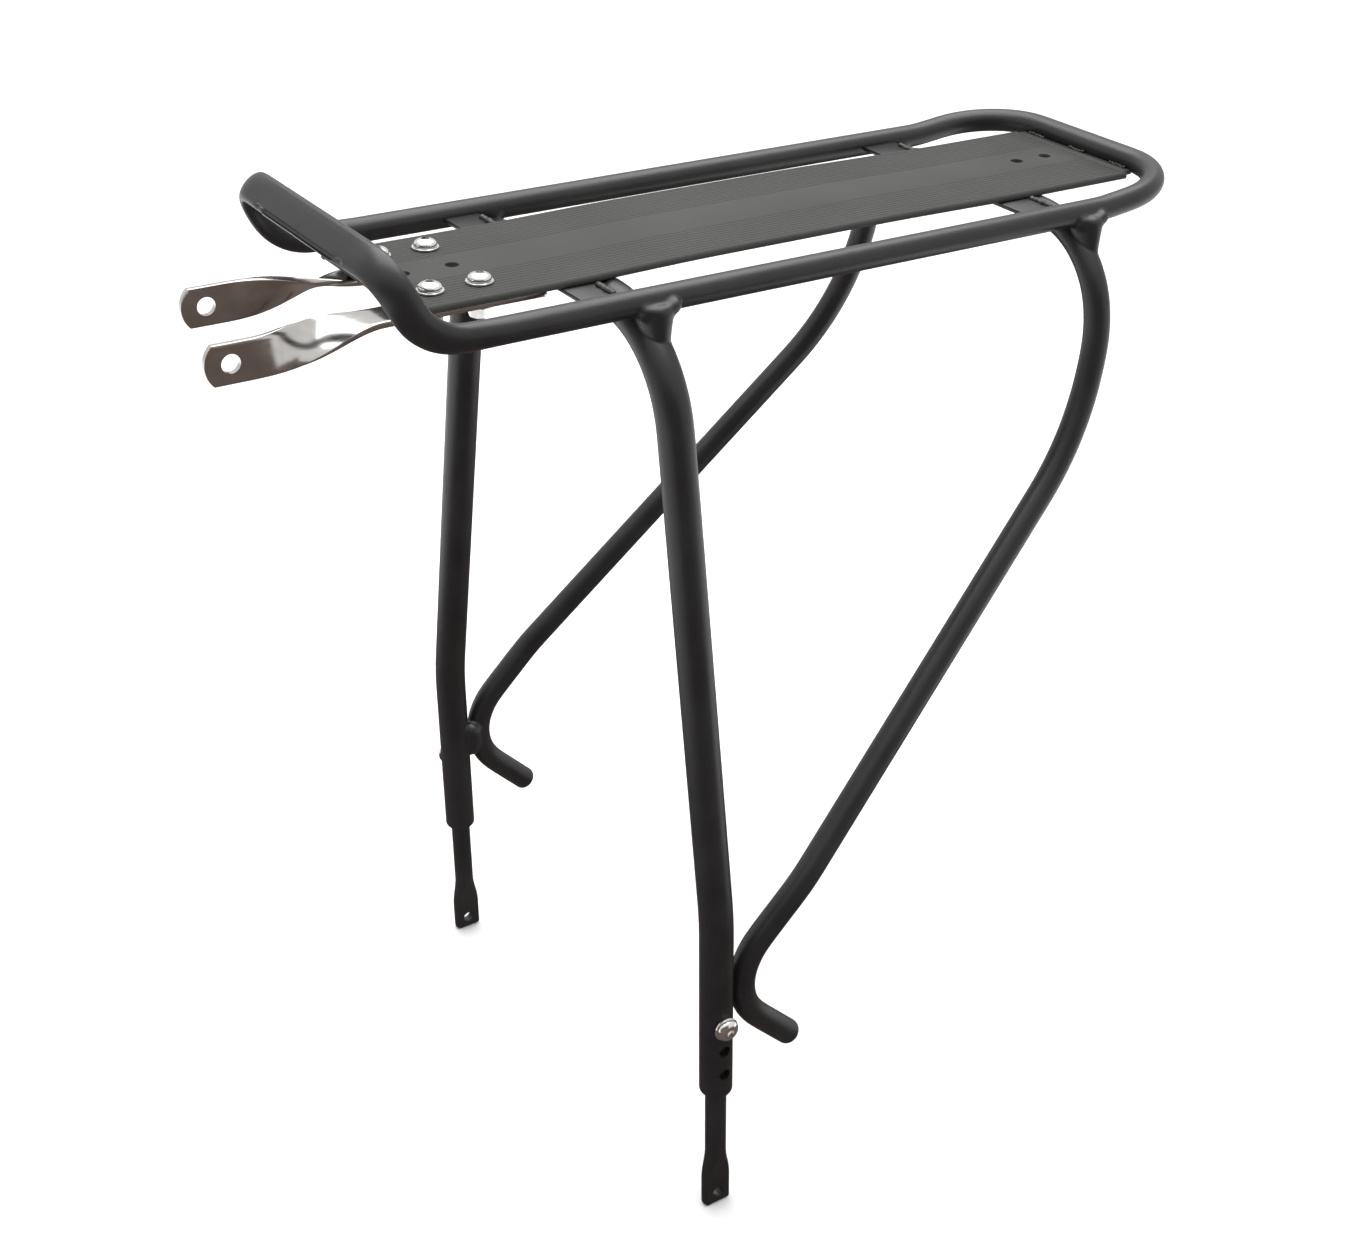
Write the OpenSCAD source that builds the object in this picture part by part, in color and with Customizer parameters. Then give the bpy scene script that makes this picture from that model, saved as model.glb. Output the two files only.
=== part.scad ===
// Bicycle rear rack: a welded aluminium carrier that bolts to a bicycle at two foot eyelets and
// two arm holes. Millimetres. The origin is midway between the two foot eyelets; +X points towards
// the front of the bicycle, +Y left and +Z up.
// Lengths along the rack are X, widths are Y. Every tube is a centre line of corner points with bend radii.

/* [Rails] */
// Outside diameter of the rail tube
rail_d = 10; // [9:0.5:11]
// Height of the straight side rails above the foot eyelets
rail_z = 388.5; // [380:0.5:400]
// Half the distance between the side rail centre lines
rail_half = 61; // [60:0.5:62]
// Where the side rails turn up into the front stop
front_corner_x = 96.6; // [90:0.2:100]
// Centre line of the front stop's cross bar, X and height
stop_x = 110; // [106:0.5:114]
stop_z = 416; // [412:0.5:420]
// Centre line of the rear cross bar, X and its rise above the side rails
rear_bar_x = -258.5; // [-262:0.5:-256]
rear_rise = 5.5; // [4:0.5:8]
// Width and thickness of the pressed flat length of the front stop's bar
pressed_w = 13; // [12:0.5:14]
pressed_t = 5; // [4:0.5:6]

/* [Deck] */
// Half the width of the extruded deck plate
deck_half = 36.5; // [35:0.5:37]
// Front and rear ends of the deck plate
deck_front_x = 91; // [86:0.5:92]
deck_rear_x = -249.5; // [-250:0.5:-245]
// Height of the ribbed deck surface above the rail centre line
deck_rise = 3; // [2.5:0.5:4]
// Thickness of the deck web
deck_web = 2; // [1.5:0.5:2.5]
// Grooves in each ribbed side band
groove_count = 9; // [4:1:9]

/* [Legs and stays] */
// Outside diameter of the front leg hoop
leg_d = 14; // [13.5:0.5:14]
// Outside diameter of the rear stay hoop
stay_d = 11; // [10:0.5:11]
// Half the distance between the two foot eyelets
foot_half = 114; // [112:0.5:116]
// Height of the bottom end of each leg
leg_end_z = 57; // [55:0.5:60]
// Height of the top adjuster hole in each leg, and the pitch of the three holes
clamp_z = 95; // [92:0.5:98]
clamp_pitch = 12.5; // [12:0.5:13]

/* [Struts] */
// Diameter of the sliding strut in each leg
strut_d = 9; // [8:0.5:9]
// Width and thickness of its flattened foot
foot_w = 12.5; // [12:0.5:14]
foot_t = 4.5; // [4:0.5:5]
// Diameter of the foot eyelet
eyelet_d = 5.5; // [5.2:0.1:5.6]

/* [Arms] */
// Width and thickness of the two forward arms
arm_w = 15; // [14:0.5:15]
arm_t = 2.5; // [2:0.5:2.5]
// Diameter of the hole at the end of each arm
arm_hole_d = 7; // [6:0.5:7.5]
// X of the left and right arm's end hole as stored
left_arm_x = 154; // [150:0.5:160]
right_arm_x = 140.6; // [140.6:0.2:160]

/* [Hidden] */
$fn = 64;
screw_d = 5;                                  // M5 throughout
hole_d = 5.4;
running = 0.05;                               // radial clearance of a strut in its leg's collar
deck_top = rail_z + deck_rise;
deck_under = deck_top - deck_web;
flange_z = rail_z + 0.4;                      // bottom of the deck's side flanges
rim_w = 2.4;                                  // thickness of the deck's side flange
rim_top = deck_top + 0.3;
band_half = 12;                               // smooth band along the middle of the deck
arm_top = rail_z - 1.9;
arm_flat_y = 21.5;                            // rows of deck screws and of flat arms
arm_end_y = 27.8;                             // plane of the upright arm ends
arm_end_z = rail_z - 6.2;
screw_rows = [55, 75];
rear_holes = [-219, -235];
washer_t = 1;
head_washer_d = 10.5;
washer_d = 10;                                // under the nuts and on the legs
nut_across = 8;
nut_h = 4;
play = 0.2;                                   // gap between an arm and what it slides on
nut_washer_z = arm_top - arm_t - play - washer_t;
pad_x = 35;                                   // rear end of the deck's arm pads
pad_l = 50;
pad_w = 2.6;
pad_y = 6.2;                                  // from an arm's middle to each of its pads
front_strip_w = 14;
rear_strip_w = 16;
strip_weld_d = 2.6;
strip_weld_y = 38;
strip_weld_l = 11;

// Front leg hoop: centre of the deck crossing, bend, knee, bottom
leg_x = 8;
leg_top_z = rail_z - 6.4;
knee = [4.8, 114, 146];
leg_lean = atan(knee.x / knee.z);
leg_path = [[leg_x, 0, leg_top_z], [leg_x, 74, leg_top_z], [knee.x, foot_half, knee.z],
            [leg_end_z * tan(leg_lean), foot_half, leg_end_z]];
leg_radii = [0, 45, 100, 0];

// Rear stay hoop: deck crossing, bend, bow, run to the leg, hook
stay_x = -200.5;
stay_top_z = rail_z - 5.1;
stay_path = [[stay_x, 0, stay_top_z], [stay_x, 72.2, stay_top_z], [stay_x, 78.9, 340.5],
             [-189.8, 84.4, 300.7], [-37.6, 113.4, 148.5], [2.3, 113.6, 108.6], [-34.1, 113.6, 72.2]];
stay_radii = [0, 40, 60, 110, 60, 27.5, 0];

// Rail loop: rear cross bar, side rail, front stop, up to where its bar is pressed flat
pressed_half = rail_half - 28;
rise_start_x = -212;
rail_path = [[rear_bar_x, 0, rail_z + rear_rise], [rear_bar_x, rail_half, rail_z + rear_rise],
             [rise_start_x, rail_half, rail_z], [front_corner_x, rail_half, rail_z],
             [stop_x, rail_half, stop_z], [stop_x, pressed_half, stop_z]];
rail_radii = [0, 32, 60, 24, 14.5, 0];

black = [0.09, 0.09, 0.1];
bright = [0.78, 0.78, 0.78];

// ---- Tube building ----

function unit(v) = v / norm(v);
function turn(p, i) = acos(unit(p[i] - p[i - 1]) * unit(p[i + 1] - p[i]));
function trim(p, r, i) = (i == 0 || i == len(p) - 1) ? 0 : r[i] * tan(turn(p, i) / 2);

// Child's +Z runs from a towards b
module along(a, b) {
    v = b - a;
    translate(a) rotate([0, acos(v.z / norm(v)), atan2(v.y, v.x)]) children();
}

module rod(a, b, d) {
    along(a, b) cylinder(d = d, h = norm(b - a));
}

// Bend of radius r that rounds the corner at b. It runs a little way into the straights on
// both sides, and is a hair thinner than they are, so that no two walls coincide.
module bend(a, b, c, r, d) {
    u = unit(b - a);
    v = unit(c - b);
    t = acos(u * v);
    n = unit(v - (u * v) * u);
    w = cross(u, n);
    o = b - u * r * tan(t / 2) + n * r;
    lap = atan(0.3 / r);
    multmatrix([[-n.x, u.x, w.x, o.x], [-n.y, u.y, w.y, o.y], [-n.z, u.z, w.z, o.z], [0, 0, 0, 1]])
        rotate([0, 0, -lap]) rotate_extrude(angle = t + 2 * lap) translate([r, 0]) circle(d = d - 0.06);
}

module tube_path(p, r, d) {
    for (i = [0 : len(p) - 2]) {
        u = unit(p[i + 1] - p[i]);
        rod(p[i] + u * trim(p, r, i), p[i + 1] - u * trim(p, r, i + 1), d);
    }
    for (i = [1 : len(p) - 2]) bend(p[i - 1], p[i], p[i + 1], r[i], d);
}

// Disc with a rounded rim that closes a tube end, seated a little way into the tube
module rounded_end(d, f) {
    seat = 0.3;
    rotate_extrude() {
        translate([0, -seat]) square([d / 2 - 0.01, seat]);
        square([d / 2 - f, f]);
        translate([d / 2 - f, 0]) intersection() { circle(r = f - 0.01); square([f, f]); }
    }
}

// A half path that starts on the middle plane, carried over to the other side
function across(p) = concat([for (i = [len(p) - 1 : -1 : 1]) [p[i].x, -p[i].y, p[i].z]],
                            [for (i = [1 : len(p) - 1]) p[i]]);
function across_radii(r) = concat([for (i = [len(r) - 1 : -1 : 1]) r[i]], [for (i = [1 : len(r) - 1]) r[i]]);

module both_sides() {
    children();
    mirror([0, 1, 0]) children();
}

// side is 1 for left and -1 for right
module sided(side) {
    if (side > 0) children(); else mirror([0, 1, 0]) children();
}

// Local +Z runs up the lower leg from the foot eyelet
module on_leg_axis() {
    translate([0, foot_half, 0]) rotate([0, leg_lean, 0]) children();
}

// ---- Welded frame ----

module pressed_bar() {
    // flat face looks forwards and up
    translate([stop_x, 0, stop_z]) rotate([90, 0, 0]) rotate([0, 0, 135])
        linear_extrude(height = 2 * pressed_half + 2, center = true) {
            square([pressed_w - pressed_t, pressed_t], center = true);
            for (s = [-1, 1]) translate([s * (pressed_w - pressed_t) / 2, 0]) circle(d = pressed_t);
        }
}

module rail_loop() {
    color(black) {
        tube_path(across(rail_path), across_radii(rail_radii), rail_d);
        pressed_bar();
    }
}

module deck_profile() {
    difference() {
        union() {
            translate([rim_w / 2 - deck_half, deck_under]) square([2 * deck_half - rim_w, deck_web]);
            for (s = [-1, 1]) {
                translate([s * (deck_half - rim_w / 2), flange_z + (rim_top - rim_w / 2 - flange_z) / 2])
                    square([rim_w, rim_top - rim_w / 2 - flange_z], center = true);
                translate([s * (deck_half - rim_w / 2), rim_top - rim_w / 2]) circle(d = rim_w);
            }
        }
        groove_w = 0.9;
        pitch = (deck_half - rim_w - band_half - 1) / groove_count;
        for (s = [-1, 1], i = [0 : groove_count])
            translate([s * (band_half + i * pitch) - groove_w / 2, deck_top - 0.5]) square([groove_w, 1]);
    }
}

module deck_plate() {
    color(black) difference() {
        union() {
            translate([deck_rear_x, 0, 0]) rotate([90, 0, 90])
                linear_extrude(height = deck_front_x - deck_rear_x) deck_profile();
            // tongue that meets the rear cross bar
            translate([rear_bar_x + 4, rim_w - deck_half, deck_under])
                cube([deck_rear_x - rear_bar_x - 3.5, 2 * (deck_half - rim_w), deck_web]);
            // pads that carry the arms
            for (s = [-1, 1], y = [-pad_y, pad_y])
                translate([pad_x, s * arm_flat_y + y - pad_w / 2, arm_top + play])
                    cube([pad_l, pad_w, deck_under - arm_top - play + 0.1]);
        }
        for (x = screw_rows, y = [-arm_flat_y, 0, arm_flat_y])
            translate([x, y, deck_under - 1]) cylinder(d = hole_d, h = 2 + deck_web);
        for (x = rear_holes) translate([x, 0, deck_under - 1]) cylinder(d = hole_d, h = 2 + deck_web);
        translate([rear_bar_x, 0, rail_z + rear_rise]) rotate([90, 0, 0])
            cylinder(d = rail_d, h = 3 * deck_half, center = true);
    }
}

module leg_collar() {
    // rounded bottom end of a leg
    on_leg_axis() translate([0, 0, leg_end_z / cos(leg_lean)]) mirror([0, 0, 1]) rounded_end(leg_d, 2.4);
}

module leg_cuts() {
    top = (clamp_z + 2 * clamp_pitch + 16) / cos(leg_lean);
    on_leg_axis() {
        translate([0, 0, 40]) cylinder(r = strut_d / 2 + running, h = 40);
        translate([0, 0, leg_end_z + 7]) cylinder(d = strut_d + 1.4, h = top - leg_end_z - 7);
        for (i = [0 : 2]) translate([0, 0, clamp_z - i * clamp_pitch]) rotate([-90, 0, 0])
            cylinder(d = hole_d, h = leg_d);
    }
}

module front_leg_hoop() {
    color(black) difference() {
        union() {
            tube_path(across(leg_path), across_radii(leg_radii), leg_d);
            both_sides() leg_collar();
        }
        both_sides() leg_cuts();
    }
}

module rear_stay_hoop() {
    n = len(stay_path);
    tip = stay_path[n - 1];
    color(black) {
        tube_path(across(stay_path), across_radii(stay_radii), stay_d);
        both_sides() along(tip, tip + (tip - stay_path[n - 2])) rounded_end(stay_d, 3);
    }
}

module cross_strip(x0, x1) {
    strip_t = 1.8;
    color(black) difference() {
        translate([x0, -rail_half, flange_z - strip_t]) cube([x1 - x0, 2 * rail_half, strip_t]);
        both_sides() translate([x0 - 1, rail_half, rail_z]) rotate([0, 90, 0])
            cylinder(d = rail_d, h = x1 - x0 + 2);
    }
}

module front_cross_strip() { cross_strip(leg_x + leg_d / 2, leg_x + leg_d / 2 + front_strip_w); }
module rear_cross_strip() { cross_strip(stay_x + stay_d / 2, stay_x + stay_d / 2 + rear_strip_w); }

// Coped stub that ties the outside of a rail to the bend of the hoop below it
module saddle(path, radii, tube, x) {
    w = 17;
    ear = 5;
    stub_d = 12;
    stub_h = 13.5;
    ear_y = rail_half + 5.2;
    ear_z = rail_z - 2;
    color(black) difference() {
        union() {
            translate([x, rail_half + 4.5, rail_z - 1 - stub_h]) cylinder(d = stub_d, h = stub_h);
            translate([x, ear_y, ear_z]) rotate([0, 90, 0])
                cylinder(d = ear, h = w - ear, center = true);
            for (s = [-1, 1]) translate([x + s * (w - ear) / 2, ear_y, ear_z])
                sphere(d = ear - 0.02);
        }
        bend(path[0], path[1], path[2], radii[1], tube);
        translate([x - w, rail_half, rail_z]) rotate([0, 90, 0]) cylinder(d = rail_d, h = 2 * w);
        translate([x - w, rail_half - 9, rail_z - 20]) cube([2 * w, 10, 24]);
    }
}

module left_front_saddle() { saddle(leg_path, leg_radii, leg_d, leg_x - 1.5); }
module right_front_saddle() { mirror([0, 1, 0]) left_front_saddle(); }
module left_rear_saddle() { saddle(stay_path, stay_radii, stay_d, stay_x - 1.5); }
module right_rear_saddle() { mirror([0, 1, 0]) left_rear_saddle(); }

// Web between the leg and the bend of the stay, on the side that faces the wheel
module left_stay_gusset() {
    color(black) difference() {
        intersection() {
            translate([-8, foot_half - 5, 107.5]) rotate([0, 90, 0]) cylinder(d = 17, h = 12);
            translate([-8, foot_half - 8.5, 90]) cube([12, 8, 40]);
        }
        tube_path(leg_path, leg_radii, leg_d);
        tube_path(stay_path, stay_radii, stay_d);
    }
}
module right_stay_gusset() { mirror([0, 1, 0]) left_stay_gusset(); }

module strip_weld(x) {
    // ridge of weld along the edge where the strip meets the hoop
    translate([x, strip_weld_y, flange_z]) {
        rotate([-90, 0, 0]) cylinder(d = strip_weld_d, h = strip_weld_l);
        sphere(d = strip_weld_d);
        translate([0, strip_weld_l, 0]) sphere(d = strip_weld_d);
    }
}

module strip_welds() {
    color(black) both_sides() difference() {
        union() {
            strip_weld(leg_x + leg_d / 2 + 1);
            strip_weld(stay_x + stay_d / 2 + 1);
        }
        tube_path(leg_path, leg_radii, leg_d);
        tube_path(stay_path, stay_radii, stay_d);
        translate([-300, 0, flange_z - 5]) cube([400, 60, 5]);
    }
}

module rear_bar_welds() {
    color(black) for (y = [-26, 0, 26]) difference() {
        translate([rear_bar_x + 4.6, y, deck_top]) rotate([90, 0, 0]) cylinder(d = 3, h = 9, center = true);
        translate([rear_bar_x, y, rail_z + rear_rise]) rotate([90, 0, 0])
            cylinder(d = rail_d, h = 12, center = true);
        translate([rear_bar_x - 8, y - 8, deck_top - 10]) cube([20, 16, 10]);
    }
}

// ---- Fasteners ----

module at_deck_screws() {
    for (x = screw_rows, y = [-arm_flat_y, arm_flat_y]) translate([x, y, 0]) children();
}

// Domed head on z = 0 with its shank below and a hexagon socket in the dome
module screw(len) {
    head_d = 9;
    head_h = 3;
    dome_r = (head_d * head_d / 4 + head_h * head_h) / (2 * head_h);
    difference() {
        union() {
            intersection() {
                translate([0, 0, head_h - dome_r]) sphere(r = dome_r);
                cylinder(d = head_d, h = head_h + 1);
            }
            translate([0, 0, -len]) cylinder(d = screw_d, h = len + 0.5);
        }
        translate([0, 0, 1]) cylinder(d = 3.46, h = head_h, $fn = 6);
    }
}

module washer(d) {
    difference() {
        cylinder(d = d, h = washer_t);
        translate([0, 0, -1]) cylinder(d = screw_d + 0.02, h = washer_t + 2);
    }
}

module deck_screws() {
    color(bright) at_deck_screws() translate([0, 0, deck_top + washer_t])
        screw(deck_top + washer_t - nut_washer_z + nut_h + 1);
}

module deck_head_washers() {
    color(bright) at_deck_screws() translate([0, 0, deck_top]) washer(head_washer_d);
}

module deck_nut_washers() {
    color(bright) at_deck_screws() translate([0, 0, nut_washer_z]) washer(washer_d);
}

module deck_nuts() {
    color(bright) at_deck_screws() translate([0, 0, nut_washer_z - nut_h]) difference() {
        cylinder(d = nut_across / cos(30), h = nut_h, $fn = 6);
        translate([0, 0, -1]) cylinder(d = screw_d + 0.02, h = nut_h + 2);
    }
}

// Local +Z leaves the leg's outer face at the top adjuster hole
module at_clamp(side) {
    sided(side) on_leg_axis() translate([0, leg_d / 2, clamp_z]) rotate([-90, 0, 0]) children();
}

module clamp_screw(side) { color(bright) at_clamp(side) translate([0, 0, washer_t]) screw(leg_d / 2 + 4); }
module clamp_washer(side) { color(bright) at_clamp(side) washer(washer_d); }
module left_clamp_screw() { clamp_screw(1); }
module right_clamp_screw() { clamp_screw(-1); }
module left_clamp_washer() { clamp_washer(1); }
module right_clamp_washer() { clamp_washer(-1); }

// ---- Sliding struts and arms ----

module stadium(w, t) {
    square([w - t, t], center = true);
    for (s = [-1, 1]) translate([s * (w - t) / 2, 0]) circle(d = t);
}

module left_strut() {
    flat_top = 10;
    round_from = 25;
    strut_top = clamp_z + 2 * clamp_pitch + 9;
    slot_w = screw_d + 0.6;
    color(black) on_leg_axis() difference() {
        union() {
            intersection() {
                translate([0, 0, -5.5]) linear_extrude(height = flat_top + 5.5) stadium(foot_w, foot_t);
                translate([0, 0, 4]) rotate([90, 0, 0]) cylinder(r = 9.5, h = 20, center = true);
            }
            hull() {
                translate([0, 0, flat_top - 0.5]) linear_extrude(height = 0.5) stadium(foot_w, foot_t, $fn = 32);
                translate([0, 0, round_from]) cylinder(d = strut_d, h = 0.5, $fn = 32);
            }
            translate([0, 0, round_from]) cylinder(d = strut_d, h = strut_top - round_from);
        }
        rotate([90, 0, 0]) cylinder(d = eyelet_d, h = 20, center = true);
        // slot for the clamp screw
        for (z = [clamp_z, clamp_z + 2 * clamp_pitch]) translate([0, 0, z]) rotate([90, 0, 0])
            cylinder(d = slot_w, h = 20, center = true);
        translate([-slot_w / 2, -10, clamp_z]) cube([slot_w, 20, 2 * clamp_pitch]);
    }
}
module right_strut() { mirror([0, 1, 0]) left_strut(); }

twist_from = 58;                              // distances back from the end hole
twist_to = 7;
slot_from = 62.5;
slot_to = 117.5;
arm_back = 123;
twist_steps = 24;

function ease(t) = t * t * (3 - 2 * t);
// Four corners of the strip's section at step i of the twist
function strip_corners(i) =
    let (t = i / twist_steps, k = ease(t), a = 90 * k,
         x = -twist_from + (twist_from - twist_to) * t,
         c = [arm_flat_y + (arm_end_y - arm_flat_y) * k,
              arm_top - arm_t / 2 + (arm_end_z - arm_top + arm_t / 2) * k],
         w = [cos(a), -sin(a)] * arm_w / 2, n = [sin(a), cos(a)] * arm_t / 2)
    [for (s = [w + n, w - n, -w - n, n - w]) [x, c.x + s.x, c.y + s.y]];

module twisted_length() {
    pts = [for (i = [0 : twist_steps]) each strip_corners(i)];
    m = 4 * twist_steps;
    faces = concat(
        [[3, 2, 1, 0], [m, m + 1, m + 2, m + 3]],
        [for (i = [0 : twist_steps - 1], j = [0 : 3])
            [4 * i + (j + 1) % 4, 4 * i + 4 + j, 4 * i + j]],
        [for (i = [0 : twist_steps - 1], j = [0 : 3])
            [4 * i + (j + 1) % 4, 4 * i + 4 + (j + 1) % 4, 4 * i + 4 + j]]);
    polyhedron(points = pts, faces = faces, convexity = 4);
}

// Arm with its end hole at X = 0
module arm() {
    tip_r = 10.4;
    color(bright) difference() {
        union() {
            translate([-arm_back, arm_flat_y - arm_w / 2, arm_top - arm_t])
                cube([arm_back - twist_from, arm_w, arm_t]);
            twisted_length();
            intersection() {
                translate([-twist_to, arm_end_y - arm_t / 2, arm_end_z - arm_w / 2])
                    cube([twist_to + 9.6, arm_t, arm_w]);
                translate([9.6 - tip_r, arm_end_y, arm_end_z]) rotate([90, 0, 0])
                    cylinder(r = tip_r, h = 3 * arm_t, center = true);
            }
        }
        translate([0, arm_end_y, arm_end_z]) rotate([90, 0, 0])
            cylinder(d = arm_hole_d, h = 3 * arm_t, center = true);
        for (x = [-slot_from - 2.8, -slot_to + 2.8]) translate([x, arm_flat_y, arm_top - 2 * arm_t])
            cylinder(d = 5.6, h = 3 * arm_t);
        translate([-slot_to + 2.8, arm_flat_y - 2.8, arm_top - 2 * arm_t])
            cube([slot_to - slot_from - 5.6, 5.6, 3 * arm_t]);
    }
}

module left_arm() { translate([left_arm_x, 0, 0]) arm(); }
module right_arm() { translate([right_arm_x, 0, 0]) mirror([0, 1, 0]) arm(); }

rail_loop();
deck_plate();
front_leg_hoop();
rear_stay_hoop();
front_cross_strip();
rear_cross_strip();
left_front_saddle();
right_front_saddle();
left_rear_saddle();
right_rear_saddle();
left_stay_gusset();
right_stay_gusset();
strip_welds();
rear_bar_welds();
deck_screws();
deck_head_washers();
deck_nut_washers();
deck_nuts();
left_clamp_screw();
right_clamp_screw();
left_clamp_washer();
right_clamp_washer();
left_strut();
right_strut();
left_arm();
right_arm();
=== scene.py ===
import math

import bmesh
import bpy
import numpy as np
from mathutils import Matrix, Vector


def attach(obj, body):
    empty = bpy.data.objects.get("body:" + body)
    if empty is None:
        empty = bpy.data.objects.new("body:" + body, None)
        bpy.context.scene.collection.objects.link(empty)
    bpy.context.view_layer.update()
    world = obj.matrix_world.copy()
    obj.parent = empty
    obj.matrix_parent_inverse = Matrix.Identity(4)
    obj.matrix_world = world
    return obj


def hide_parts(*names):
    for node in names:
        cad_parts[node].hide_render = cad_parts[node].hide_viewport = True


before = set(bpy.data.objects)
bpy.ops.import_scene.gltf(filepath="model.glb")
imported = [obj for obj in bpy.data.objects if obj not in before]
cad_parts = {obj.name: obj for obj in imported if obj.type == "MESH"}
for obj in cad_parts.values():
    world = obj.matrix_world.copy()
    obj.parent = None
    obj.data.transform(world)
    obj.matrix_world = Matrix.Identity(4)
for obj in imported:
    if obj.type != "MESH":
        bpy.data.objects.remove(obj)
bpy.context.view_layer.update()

MM = 0.001
SIDES = (("left", 1), ("right", -1))

# ---- Sizes that the CAD source states ----

RAIL_Z = 388.5
RAIL_HALF = 61.0
RAIL_R = 5.0
STOP_X = 110.0
STOP_Z = 416.0
REAR_X = -258.5
REAR_Z = 394.0
LEG_R = 7.0
STAY_R = 5.5
LEG_X = 8.0
STAY_X = -200.5
LEG_TOP_Z = RAIL_Z - 6.4
STAY_TOP_Z = RAIL_Z - 5.1
FOOT_HALF = 114.0
KNEE_X = 4.8
KNEE_Z = 146.0
LEG_LEAN = math.atan(KNEE_X / KNEE_Z)
LEG_END_Z = 57.0
CLAMP_Z = 95.0
CLAMP_PITCH = 12.5
STRUT_R = 4.5
STRIP_WIDTHS = {"front": 14.0, "rear": 16.0}
STRIP_TOP = 388.9
DECK_TOP = RAIL_Z + 3.0
DECK_WEB = 2.0
DECK_X = (-249.5, 91.0)
DECK_HALF = 36.5
RIM_W = 2.4
RIM_TOP = DECK_TOP + 0.3
FLANGE_Z = 388.9
BAND_HALF = 12.0
GROOVES = 9
HOLE_R = 2.7
ARM_TOP = 386.6
ARM_T = 2.5
ARM_W = 15.0
ARM_ENDS = {"left": 154.0, "right": 140.6}
ARM_END_Y = 27.8
ARM_END_Z = 382.3
ARM_HOLE_R = 3.5
SCREW_ROWS = (55.0, 75.0)
REAR_HOLES = (-219.0, -235.0)
SCREW_Y = 21.5
WASHER_T = 1.0
NUT_H = 4.0
PLAY = 0.2  # gap between an arm and what it slides on

LEG_CORNERS = [(LEG_X, 0, LEG_TOP_Z), (LEG_X, 74, LEG_TOP_Z), (KNEE_X, FOOT_HALF, KNEE_Z),
               (LEG_END_Z * math.tan(LEG_LEAN), FOOT_HALF, LEG_END_Z)]
LEG_RADII = [0, 45, 100, 0]
STAY_CORNERS = [(STAY_X, 0, STAY_TOP_Z), (STAY_X, 72.2, STAY_TOP_Z), (STAY_X, 78.9, 340.5),
                (-189.8, 84.4, 300.7), (-37.6, 113.4, 148.5), (2.3, 113.6, 108.6), (-34.1, 113.6, 72.2)]
STAY_RADII = [0, 40, 60, 110, 60, 27.5, 0]
RAIL_CORNERS = [(STOP_X, 0, STOP_Z), (STOP_X, RAIL_HALF, STOP_Z), (96.6, RAIL_HALF, RAIL_Z),
                (-212, RAIL_HALF, RAIL_Z), (REAR_X, RAIL_HALF, REAR_Z), (REAR_X, 0, REAR_Z)]
RAIL_RADII = [0, 14.5, 24, 60, 32, 0]


# ---- Paths ----

def unit(v):
    return v / np.linalg.norm(v)


def smooth(t, a, b):
    """0 up to a, 1 from b, with a smooth rise between them."""
    t = np.clip((t - a) / (b - a), 0, 1)
    return t * t * (3 - 2 * t)


def lengths(p):
    """Distance along a path at each of its points."""
    return np.r_[0, np.cumsum(np.linalg.norm(np.diff(p, axis=0), axis=1))]


def resample(p, step):
    """The same path with points about step apart."""
    d = lengths(p)
    t = np.linspace(0, d[-1], max(2, int(round(d[-1] / step))) + 1)
    return np.stack([np.interp(t, d, p[:, k]) for k in range(3)], 1)


def rounded_path(corners, radii, step=1.0):
    """Straight lengths and arcs through corner points with bend radii."""
    c = [np.array(x, float) for x in corners]
    out = [c[0]]
    for i in range(1, len(c) - 1):
        u, v = unit(c[i] - c[i - 1]), unit(c[i + 1] - c[i])
        turn = math.acos(np.clip(u @ v, -1, 1))
        n = unit(v - (u @ v) * u)
        o = c[i] - u * radii[i] * math.tan(turn / 2) + n * radii[i]
        for a in np.linspace(0, turn, max(3, int(radii[i] * turn / step))):
            out.append(o + radii[i] * (u * math.sin(a) - n * math.cos(a)))
    out.append(c[-1])
    return resample(np.array(out), step)


def mirrored(p):
    """A half path that starts on the middle plane, carried over to the other side."""
    return np.vstack([(p * [1, -1, 1])[:0:-1], p])


def relax(p, reach, closed=False):
    """Evens out the curvature where arcs meet straights. The ends of an open path stay."""
    w = np.hanning(2 * reach + 3)[1:-1]
    w /= w.sum()
    if closed:
        padded = np.vstack([p[-reach:], p, p[:reach]])
    else:
        padded = np.vstack([2 * p[0] - p[reach:0:-1], p, 2 * p[-1] - p[-2:-reach - 2:-1]])
    return np.stack([np.convolve(padded[:, k], w, "valid") for k in range(3)], 1)


def carried_frames(p, first, closed=False):
    """Tangents and two cross directions that are carried along a path without twist."""
    if closed:
        t = np.roll(p, -1, 0) - np.roll(p, 1, 0)
    else:
        t = np.gradient(p, axis=0)
    t /= np.linalg.norm(t, axis=1)[:, None]
    n = np.zeros_like(p)
    n[0] = unit(np.array(first, float) - (np.array(first) @ t[0]) * t[0])
    for i in range(1, len(p)):
        n[i] = unit(n[i - 1] - (n[i - 1] @ t[i]) * t[i])
    return t, n, np.cross(t, n)


# ---- Meshes ----

def mesh_object(name, verts, faces, sharp=35):
    me = bpy.data.meshes.new(name)
    me.from_pydata((np.asarray(verts) * MM).tolist(), [], faces)
    me.validate()
    obj = bpy.data.objects.new(name, me)
    bpy.context.scene.collection.objects.link(obj)
    shade(obj, sharp)
    return obj


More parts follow.
